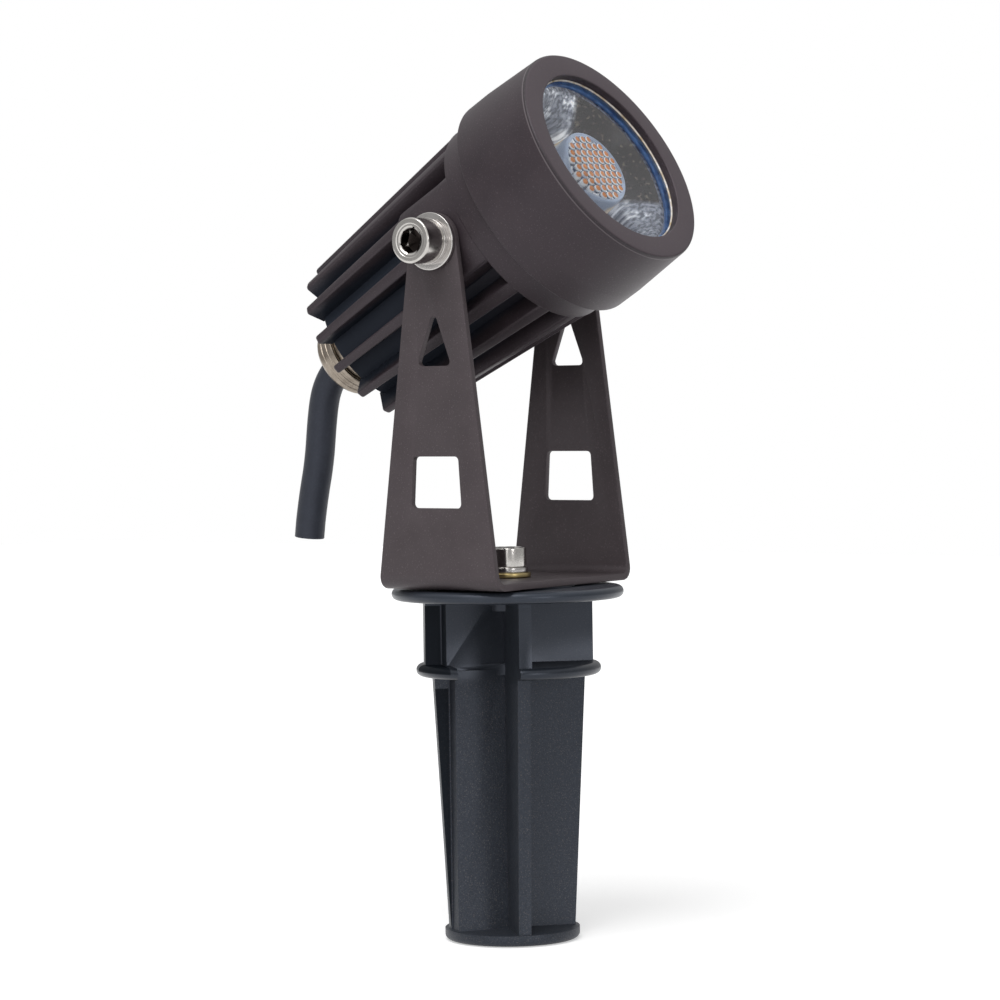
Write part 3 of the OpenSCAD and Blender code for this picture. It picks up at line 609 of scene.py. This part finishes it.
# %% A tree that fills a disc with a honeycomb of pieces
def honeycomb_tree():
    kinds = ("Count", "Int"), ("Pitch", "Float"), ("Reach", "Float"), ("Material", "Material")
    tree, given = new_tree("honeycomb", *kinds)
    pitch, count = Varying(tree, given["Pitch"]), given["Count"]
    width = pitch * (Varying(tree, count) - 1)
    row_pitch = pitch * math.sqrt(0.75)
    sizes = {"Size X": width, "Size Y": width * math.sqrt(0.75), "Vertices X": count, "Vertices Y": count}
    grid = add_node(tree, "GeometryNodeMeshGrid", None, sizes).outputs["Mesh"]
    place = add_node(tree, "GeometryNodeInputPosition").outputs[0]
    up = Varying(tree, add_node(tree, "ShaderNodeSeparateXYZ", None, {0: place}).outputs["Y"])
    row = up / row_pitch
    row = row.math("ROUND", row)
    odd = row.math("PINGPONG", row, 1.0)
    shift = add_node(tree, "ShaderNodeCombineXYZ", None, {"X": odd * pitch * 0.5}).outputs[0]
    moved = add_node(tree, "GeometryNodeSetPosition", None, {"Geometry": grid, "Offset": shift}).outputs[0]
    far = add_node(tree, "ShaderNodeVectorMath", {"operation": "LENGTH"}, {0: place}).outputs["Value"]
    spare = {"Geometry": moved, "Selection": Varying(tree, far).math("GREATER_THAN", far, given["Reach"])}
    kept = add_node(tree, "GeometryNodeDeleteGeometry", None, spare).outputs[0]
    close_tree(tree, kept, given["Geometry"], (0, 0, 0), given["Material"])
    return tree


# %% Run a tree on a drawn piece and keep plain mesh
def repeated(name, bm, tree, place, sharp=35, **inputs):
    drawn = finished(name, bm, Matrix.Identity(4), inputs["Material"])
    modifier = drawn.modifiers.new("repeat", "NODES")
    modifier.node_group = tree
    for socket in tree.interface.items_tree:
        if socket.name in inputs:
            modifier[socket.identifier] = inputs[socket.name]
    return baked(drawn, place, sharp)


ring, honeycomb = ring_tree(), honeycomb_tree()

# %% [markdown]
# ## Housing
# The body is one aluminium casting. Turned parts of it, the cone between the fins, the collar and the
# threaded spigot, are spun from one section. The fins are drawn once and repeated sixteen times, and
# two solid cheeks fill the places where the pivot screws bite.

# %% Housing sizes
CORE_REAR, COLLAR_REAR, BEZEL_REAR, BEZEL_FRONT = -41.5, 7.2, 13.6, 33.78
COLLAR_R, THREAD_R, BORE_R, CAVITY_R = 24.5, 24.2, 22.1, 14.0
FIN_COUNT, FIN_REAR_T, FIN_FRONT_T, FIN_REAR, FIN_FRONT = 16, 1.9, 3.4, -42.5, COLLAR_REAR + 1.5

housing_section = softened([
    (6.2, CORE_REAR), (16.0, CORE_REAR, 0.5), (19.5, COLLAR_REAR, 0.9), (COLLAR_R, COLLAR_REAR, 0.3),
    (COLLAR_R, BEZEL_REAR - 0.1, 0.2), (THREAD_R, BEZEL_REAR - 0.1), (THREAD_R, 26.5), (BORE_R, 26.5),
    (BORE_R, 7.5), (CAVITY_R, 7.5), (CAVITY_R, -37.5), (6.2, -37.5),
], 0)
housing_body = turned("housing_body", housing_section, HEAD, bronze_coat, 192)

# %% Fins
fin_outline = softened([
    (14.9, FIN_REAR), (20.35, FIN_REAR, 1.0), (24.42, FIN_FRONT), (18.2, FIN_FRONT),
], 0, 6)
one_fin = bmesh.new()
plate(one_fin, fin_outline, FIN_REAR_T, 0.5, STAND)
for v in one_fin.verts:
    along_fin = (v.co.z - FIN_REAR) / (COLLAR_REAR - FIN_REAR)
    v.co.y *= 1 + (FIN_FRONT_T / FIN_REAR_T - 1) * along_fin
fins = repeated("fins", one_fin, ring, HEAD, Count=FIN_COUNT, Material=bronze_coat)


# %% Cheeks
def cheek(side):
    """Slices across Y, each a strip that follows the collar's round but stops at the flat face."""
    half, rear, front, corner, inner, flat, rounded = 10.33, -8.2, 9.0, 2.0, 16, 24.4, 24.46
    rings = []
    for y in np.concatenate(([-half], np.linspace(-half + 0.25, half - 0.25, 31), [half])):
        over = max(abs(y) - (half - corner), 0)
        low = rear + corner - math.sqrt(corner**2 - over**2)
        top = min(flat, math.sqrt(rounded**2 - y**2)) - (0.3 if abs(y) == half else 0)
        edge = ((top - 0.5, low), (top - 0.12, low + 0.15), (top, low + 0.5))
        strip = ((inner, low), *edge, (top, front), (inner, front))
        rings.append([(side * x, y, z) for x, z in strip])
    bm = bmesh.new()
    loft(bm, rings)
    return finished("cheek_left" if side < 0 else "cheek_right", bm, HEAD, bronze_coat, 50)


cheeks = [cheek(-1), cheek(1)]
adopt(housing_body, "head", "head_paint", "housing")
for piece in (fins, *cheeks):
    adopt(piece, "head", "head_paint")

# %% [markdown]
# ## Bezel
# The bezel is turned, so it is spun from its section too: a straight band, a slight taper, a flat
# face and an inward lip that holds the glass. The small radius on its front edge catches the light.

# %% Bezel
bezel_section = softened([
    (24.35, BEZEL_REAR), (26.8, BEZEL_REAR, 0.35), (26.8, 19.6, 4.0), (25.98, BEZEL_FRONT, 0.7),
    (20.6, BEZEL_FRONT, 0.3), (20.6, 31.8, 0.1), (22.1, 31.8), (22.1, 26.6), (24.35, 26.6),
], 0, 6)
adopt(turned("bezel_ring", bezel_section, HEAD, bronze_coat, 192), "head", "head_paint", "bezel")

# %% [markdown]
# ## Bracket and stake
# Their solids already have the right form and only lack soft edges. A CAD mesh is loose triangles, so
# a copy is merged, its flat faces are joined, and a Bevel modifier that works by angle rounds every
# real edge: a hair on cut sheet steel, more on moulded plastic.


# %% Copies of CAD nodes with soft edges
def soft_copy(name, node, width, segments, material):
    bm = bmesh.new()
    bm.from_mesh(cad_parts[node].data)
    bmesh.ops.remove_doubles(bm, verts=bm.verts, dist=2e-6)
    bmesh.ops.dissolve_limit(bm, angle_limit=math.radians(1), verts=bm.verts, edges=bm.edges)
    copy = finished(name, bm, Matrix.Identity(4), material)
    rounding = copy.modifiers.new("soft edges", "BEVEL")
    rounding.width, rounding.segments = width * MM, segments
    rounding.limit_method, rounding.angle_limit = "ANGLE", math.radians(35)
    return baked(copy, Matrix.Identity(4), 30)


sheet = soft_copy("bracket_sheet", "bracket", 0.2, 2, bracket_coat)
adopt(sheet, "bracket", "bracket_paint", "bracket")
stake_body = soft_copy("stake_body", "stake", 0.45, 3, stake_plastic)
adopt(stake_body, "stake", "stake_plastic", "stake")

# %% [markdown]
# ## Screws and washers
# A socket head cap screw is a turned piece with one part that isn't round: its hexagon socket. So it
# is spun like the rest, and then the socket's points are drawn in to the hexagon. The right screw is
# the left one turned half round, which the ring tree does with a count of two.


# %% Socket head cap screw, standing on z = 0
def cap_screw(head_r, head_h, shank_r, shank_l):
    socket_r = head_r * 0.51 / math.cos(math.radians(30))
    dish, floor = head_h - 0.12, head_h * 0.5
    section = softened([
        (0, -shank_l, 0), (shank_r, -shank_l, 0.5), (shank_r, 0, 0),
        (head_r - 0.1, 0, 0.1), (head_r, 0.25, 0.2), (head_r, head_h, 0.62),
        (head_r * 0.76, head_h, 0.15), (head_r * 0.72, dish, 0.1), (socket_r + 0.22, dish, 0.1),
        (socket_r, head_h - 0.4, 0), (socket_r, floor, 0), (0, floor - 0.9, 0),
    ], 0, 5, closed=False)
    bm = bmesh.new()
    spin(bm, section, 96)
    for v in bm.verts:
        reach = math.hypot(v.co.x, v.co.y)
        if v.co.z > floor - 1 and 1e-3 < reach < socket_r + 1e-3:
            sixth = math.radians(60)
            off = (math.atan2(v.co.y, v.co.x) % sixth) - sixth / 2
            v.co.xy *= math.cos(sixth / 2) / math.cos(off)
    return bm


def washer(outer, bore, height, edge=0.22, sweep=360.0):
    """A flat ring, or a spring washer where the sweep is short of a full turn."""
    bm = bmesh.new()
    spin(bm, softened([(bore, 0), (outer, 0), (outer, height), (bore, height)], edge), 96, sweep)
    return bm


# %% Pivot and base screws
PIVOT_SOCKET_TURN, BASE_SOCKET_TURN = math.radians(165), math.radians(60)
PIVOT_LEFT = OUT_LEFT @ Matrix.Rotation(PIVOT_SOCKET_TURN, 4, "Z")
WASHER_SEAT = 26.1
pivot_sets = (
    ("washer", washer(6.2, 3.2, 1), WASHER_SEAT, stainless),
    ("spring", washer(5.0, 3.2, 0.98, 0.12, 352.0), WASHER_SEAT + 1, stainless),
    ("screw", cap_screw(4.9, 5.8, 3.0, 11.7), WASHER_SEAT + 2, pivot_steel),
)
for kind, bm, seat, material in pivot_sets:
    bm.transform(PIVOT_LEFT @ Matrix.Translation((0, 0, seat)))
    pair = repeated(f"pivot_{kind}s", bm, ring, PIVOT, Count=2, Material=material)
    adopt(pair, "head", "stainless", f"pivot_{kind}_left", f"pivot_{kind}_right")

BASE_SEAT = 79.7
at_base = UPRIGHT @ Matrix.Translation((0, 0, BASE_SEAT)) @ Matrix.Rotation(BASE_SOCKET_TURN, 4, "Z")
base_set = (
    ("base_washer_disc", washer(5.2, 2.7, 1), 0, yellow_zinc, "plated_washer", "base_washer"),
    ("base_spring_ring", washer(4.6, 2.7, 1.18, 0.2, 350.0), 1, stainless, "stainless", "base_spring"),
    ("base_cap_screw", cap_screw(4.25, 4.4, 2.5, 8.5), 2.2, base_steel, "stainless", "base_screw"),
)
for name, bm, seat, material, slot, node in base_set:
    seated = at_base @ Matrix.Translation((0, 0, seat))
    adopt(finished(name, bm, seated, material), "stake", slot, node)

# %% [markdown]
# ## Cable gland
# The gland is bar-turned brass under nickel. Its round nut has a chamfer and two grip grooves, which
# are what tells a turned nut from a plain ring.

# %% Gland
nut_section = softened([
    (3.55, -52.5, 0.2), (7.5, -52.5, 0.3), (8.3, -51.7, 0.25),
    (8.3, -50.7), (8.2, -50.55), (8.2, -50.15), (8.3, -50.0),
    (8.3, -49.35), (8.2, -49.2), (8.2, -48.8), (8.3, -48.65),
    (8.3, -47.7, 0.3), (5.65, -47.7), (5.65, -51.3), (3.55, -51.3),
], 0.07, 3)
adopt(turned("gland_cap", nut_section, HEAD, nickel), "head", "nickel_plate", "gland_nut")
neck_section = softened([
    (3.5, -51.2), (5.5, -51.2), (5.5, -47.6), (7.4, -47.6), (7.4, -45.5), (7.1, -45.3),
    (7.1, -45.0), (7.4, -44.8), (7.4, -43.0), (6.0, -43.0), (6.0, -37.5), (3.5, -37.5),
], 0.15, 3)
adopt(turned("gland_neck", neck_section, HEAD, nickel), "head", "nickel_plate", "gland_body")

# %% [markdown]
# ## Front glass and lens
# Behind the lip lies a disc of clear glass, true glass to the renderer, with its own IOR. A pale ring
# at its edge is a painted highlight. Under it sits a silicone ring, which light that has run through
# the glass tints blue. The acrylic lens below is a bowl with a hollow cone in front and an island in
# the middle. Its finish paints what such a lens shows: looked into, a dark smoke for the dark holder
# seen through it, and grazed, a painted silver reflection of the light that its pebbled outside
# throws back, with painted glints, brighter towards the axis and towards -X. Layer Weight switches
# between the two. The island's wall is painted gold as painted light and its rim pale blue as a
# painted highlight, and a faint emission is a painted glow for the daylight that clear acrylic
# carries inside to its facets.


# %% Clear glass
def clear_glass():
    clear = {"ior": 1.5, "transmission_weight": 1.0, "specular_tint": colour("000000")}
    glass = Finish("front glass", "f2f6fb", 0.0, **clear)
    haze = glass.noise(6.0, 2.0)
    glass.set({"Roughness": 0.03 * haze, "Base Color": glass.blend(haze, "eef4fb", "ffffff")})
    glass.relief(glass.noise(20.0, 2.0), 0.004)
    return glass.material


# %% Front glass, a pale ring painted as the highlight at its edge, and the blue ring
GLASS_R, GLASS_REAR, GLASS_FRONT = 21.9, 29.32, 31.78
glass_section = softened([
    (0, GLASS_FRONT), (GLASS_R, GLASS_FRONT, 0.2), (GLASS_R, GLASS_REAR, 0.2), (0, GLASS_REAR),
], 0, 4, closed=False)
adopt(turned("front_disc", glass_section, HEAD, clear_glass(), 160), "head", "clear_glass", "front_glass")
# A pale ring at the lip's inner edge: a painted highlight where the glass edge catches the light.
bead = softened([(20.3, 31.79), (20.58, 31.79), (20.58, 32.1), (20.42, 32.1)], 0.05)
edge_highlight_paint = two_tone("painted edge highlight", "b39b6c", "ffffff", 0.2)
adopt(turned("glass_edge_highlight", bead, HEAD, edge_highlight_paint, 160), "head", "clear_glass")
gasket_section = softened([(19.8, 28.12), (22.0, 28.12), (22.0, 29.28), (19.8, 29.28)], 0.3)
gasket_blue = two_tone("gasket silicone", "26528f", "6390cc", 0.35)
adopt(turned("gasket_ring", gasket_section, HEAD, gasket_blue, 128), "head", "clear_gasket", "glass_gasket")

# %% Lens
LENS_FOOT, LENS_LOW, LENS_TOP = 12.1, 26.9, 28.1
ISLAND_R, ISLAND_TOP = 8.6, 27.7
BOWL_R, BOWL_FLARE, BOWL_RISE = 7.2, 13.1, 14.8
PEBBLE_ROWS, PEBBLE_WAVES, PEBBLE_DEPTH = 13, 30, 0.22


def lens_shape(around=240, rows=48):
    bm = bmesh.new()
    bowl = []
    for i in range(rows + 1):
        s = i / rows
        flare, rise = BOWL_FLARE * s * (0.65 + 0.35 * s), BOWL_RISE * s * (0.75 + 0.25 * s)
        bowl.append((BOWL_R + flare, LENS_FOOT + rise))
    inside = [(0, 17.9), (4.8, 17.9), (5.4, 17.2), (5.5, LENS_FOOT)]
    flange = [(22.0, LENS_LOW), (22.0, LENS_TOP), (18.9, LENS_TOP)]
    cone = [(18.6, 27.9), (9.2, 20.2), (9.0, 20.1), (8.8, 20.4)]
    rim, plateau = ISLAND_TOP + 0.2, ISLAND_TOP - 0.1
    island = [
        (ISLAND_R, rim - 0.2), (ISLAND_R - 0.15, rim), (ISLAND_R - 0.4, rim), (ISLAND_R - 0.55, rim - 0.15),
        (ISLAND_R - 0.8, rim - 0.1), (ISLAND_R - 0.95, plateau), (0, plateau),
    ]
    spin(bm, inside + bowl + flange + cone + island, around)
    for v in bm.verts:
        reach, z = math.hypot(v.co.x, v.co.y), v.co.z
        s = (z - LENS_FOOT) / BOWL_RISE
        if 0.02 < s < 0.98 and reach > BOWL_R + BOWL_FLARE * s * 0.62 and z < LENS_LOW:
            angle, row = math.atan2(v.co.y, v.co.x), s * PEBBLE_ROWS
            wave = angle * PEBBLE_WAVES + math.floor(row) * math.pi / 2
            pebble = abs(math.sin(wave)) * abs(math.sin(row * math.pi))
            v.co.xy *= 1 - PEBBLE_DEPTH * pebble / reach
    return bm


ISLAND_WALL, ISLAND_RIM, RIM_FROM = (8.3, 8.45, 8.8, 9.1), (7.5, 7.7, 8.7, 8.8), (26.4, 27.0)


def lens_finish():
    acrylic = Finish("clear acrylic", "1f1e20", 0.2, specular_ior_level=0.15, emission_strength=0.3)
    facing = Varying(acrylic.tree, add_node(acrylic.tree, "ShaderNodeLayerWeight").outputs["Facing"])
    # Grazed, the acrylic is painted silver as a painted reflection; looked into, a dark smoke for the holder
    # seen through it.
    grazed = facing.above(0.27, 0.31)
    reach, height = acrylic.from_axis(acrylic.on_head())
    pebbles = acrylic.noise(0.8, 3.0)
    inward, rightward = 1 - reach.above(9.5, 15.5), acrylic.axis("X")
    # Painted light: the silver is brighter towards the axis and towards -X.
    bright = (acrylic.noise(3.2, 2.0) + 0.25 * inward - 0.008 * rightward).above(0.5, 0.7)
    # Painted glints on the pebbles.
    glints = pebbles.above(0.4, 0.6)
    dull, lit = acrylic.blend(bright, "5a5e6a", "8f939e"), acrylic.blend(bright, "a2a6b2", "ffffff")
    silver = acrylic.blend(glints, dull, lit)
    # Pale brownish specks on the smoke.
    pale_specks = acrylic.noise(0.9, 3.0).above(0.58, 0.7)
    smoke = acrylic.blend(pale_specks * 0.35, acrylic.blend(pebbles, "1d1617", "30272a"), "b8a890")
    wall = reach.between(*ISLAND_WALL)
    rim = reach.between(*ISLAND_RIM) * height.above(*RIM_FROM)
    # The island's wall is painted gold and white, as painted light.
    gold = acrylic.blend(glints, "f3cd84", "ffffff")
    tone = acrylic.blend(wall, acrylic.blend(grazed, smoke, silver), gold)
    # The island's rim is painted pale blue, as a painted highlight.
    tone = acrylic.blend(rim, tone, "a4afc2")
    acrylic.set({"Base Color": tone, "Roughness": 0.12 + 0.2 * grazed, "Metallic": grazed * (1 - rim) * 0.4})
    # Painted glow: a faint emission where the silver and the island's wall are painted.
    painted_glow = (grazed * (0.25 + 0.75 * bright) + wall).clamped()
    acrylic.set({"Emission Color": acrylic.blend(painted_glow, "000000", tone)})
    acrylic.relief(pebbles, 0.09)
    return acrylic.material


adopt(finished("collimator", lens_shape(), HEAD, lens_finish(), 30), "head", "lens_acrylic", "lens")

# %% [markdown]
# The island carries a honeycomb of tiny lenses. Each is the same dome, so it is drawn once with few
# faces and the honeycomb tree fills the disc. The finish paints every dome by height: at the top a
# small amber spot, a painted image of the yellow light source, on a pale blue-white ground of
# painted reflection, and dark blue painted shade in the valleys between the domes.


# %% Lenslets
def lenslet_finish():
    bead = Finish("lenslets", "e8eef6", 0.08, coat_weight=0.4)
    height = bead.axis("Z", bead.on_head())
    patch = bead.noise(1.6, 2.0)
    # Painted shade: dark blue in the valleys between the domes.
    valley = 1 - height.above(ISLAND_TOP + 0.02, ISLAND_TOP + 0.16)
    # A painted image of the yellow light source: an amber spot at each dome's top.
    spot = height.above(ISLAND_TOP + 0.21, ISLAND_TOP + 0.26)
    # A pale ground with white patches: painted reflection.
    ground = bead.blend(patch.above(0.3, 0.5), "c4d2e4", "ffffff")
    bead.set({"Base Color": bead.blend(spot, bead.blend(valley, ground, "16305c"), "f08a00")})
    return bead.material


def dome(radius, rise):
    bm = bmesh.new()
    arc = [(radius * math.cos(a), rise * math.sin(a)) for a in np.radians((0, 30, 60))]
    spin(bm, [(0, 0), *arc, (0, rise)], 10)
    return bm


pattern = {"Count": 13, "Pitch": 1.98, "Reach": 7.2, "Material": lenslet_finish()}
on_island = HEAD @ Matrix.Translation((0, 0, ISLAND_TOP - 0.08))
lenslets = repeated("lenslets", dome(1.0, 0.46), honeycomb, on_island, **pattern)
adopt(lenslets, "head", "lens_acrylic")

# %% [markdown]
# ## What lies inside
# These pieces barely show, through the lens or the slots, so their CAD solids stay and only get the
# finish of what they are.

# %% Finishes for the inner pieces
inner_finishes = {
    "stake_insert": brass, "led_plate": aluminium, "plate_screws": small_steel, "cob_screws": small_steel,
    "bezel_o_ring": seal_rubber, "gland_washer": seal_rubber, "gland_seal": seal_rubber,
    "cord_tail": cord_rubber, "supply_cores": core_brown,
    "lens_holder": two_tone("holder plastic", "0d0e10", "16181b", 0.35),
    "thermal_pad": two_tone("thermal silicone", "7f8a94", "929ca5", 0.7),
    "cob_board": two_tone("white board", "d4d6d2", "e4e5e1", 0.4),
    "cob_emitter": two_tone("phosphor", "e0a818", "f0c030", 0.5),
    "driver_board": two_tone("green board", "15542c", "1f6b3a", 0.35),
    "driver_parts": two_tone("component black", "18181b", "242428", 0.4),
    "led_lead_red": two_tone("red lead", "8f1a22", "a8202a", 0.4),
    "led_lead_black": two_tone("black lead", "121212", "1e1e1e", 0.4),
}
for node, material in inner_finishes.items():
    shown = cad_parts[node].data
    shown.materials.clear()
    shown.materials.append(material)
print("inner pieces finished:", len(inner_finishes))

# %% [markdown]
# ## Stage and light
# A white floor and a white world make the plain studio. Their white is meant for the camera, for
# mirrors and for glass, so it is switched by Light Path, while the light that falls on the object
# stays at a level where a colour renders about as it is written. Mirrors see the low part of the
# world dimmer than the top, as a room's walls are.


# %% White for the eye
def white_where_seen(tree, white, otherwise):
    """Mixes in the white where the camera looks straight, by mirror or through glass."""
    path = add_node(tree, "ShaderNodeLightPath").outputs
    kinds = ("Camera", "Glossy", "Transmission")
    straight, mirrored, through = (Varying(tree, path[f"Is {kind} Ray"]) for kind in kinds)
    seen = (straight + mirrored + through).clamped()
    return add_node(tree, "ShaderNodeMixShader", None, {0: seen, 1: otherwise, 2: white}).outputs[0]


# %% World
world = bpy.data.worlds.new("studio")
world.use_nodes = True
bpy.context.scene.world = world
sky = world.node_tree
plain = add_node(sky, "ShaderNodeBackground", None, {"Color": (1, 1, 1, 1), "Strength": 0.4}).outputs[0]
heading = add_node(sky, "ShaderNodeTexCoord").outputs["Generated"]
rise = Varying(sky, add_node(sky, "ShaderNodeSeparateXYZ", None, {0: heading}).outputs["Z"])
mirrored = Varying(sky, add_node(sky, "ShaderNodeLightPath").outputs["Is Glossy Ray"])
walls = mirrored * (1 - rise.above(0.35, 0.9)) * 0.55
whole = {"Color": (1, 1, 1, 1), "Strength": 1 - walls}
bright = add_node(sky, "ShaderNodeBackground", None, whole).outputs[0]
sky.links.new(white_where_seen(sky, bright, plain), sky.nodes["World Output"].inputs[0])


# %% Floor
def floor_paint():
    """A matt grey for the light it throws back, and a white for the eye that still takes a shadow."""
    paint = Finish("floor paint", "7a7a7a", 0.9, specular_ior_level=0.0)
    tree = paint.tree
    shaded = add_node(tree, "ShaderNodeBsdfDiffuse", None, {"Color": colour("e6e6e6")}).outputs[0]
    glow = add_node(tree, "ShaderNodeEmission", None, {"Color": (1, 1, 1, 1), "Strength": 0.46}).outputs[0]
    white = add_node(tree, "ShaderNodeAddShader", None, {0: shaded, 1: glow}).outputs[0]
    mixed = white_where_seen(tree, white, paint.shader.outputs[0])
    tree.links.new(mixed, tree.nodes["Material Output"].inputs[0])
    return paint.material


bm = bmesh.new()
bmesh.ops.create_grid(bm, x_segments=2, y_segments=2, size=1500)
floor = finished("floor", bm, UPRIGHT, floor_paint())
floor.data.transform(Matrix.Translation((0, 0, -0.2 * MM)))


# %% Lamps
def sun(name, aim_from, softness, strength):
    light = bpy.data.lights.new(name, "SUN")
    light.angle, light.energy = math.radians(softness), strength
    holder = bpy.data.objects.new(name, light)
    holder.rotation_euler = Vector(aim_from).to_track_quat("Z", "Y").to_euler()
    bpy.context.scene.collection.objects.link(holder)


sun("high sun", (-0.55, -0.1, 1.0), 40, 1.6)
sun("left fill", (-1.0, -0.3, 0.25), 50, 0.5)
sun("front glint", (-0.35, -1.0, 0.22), 15, 0.35)
bpy.context.scene.view_settings.view_transform = "Standard"
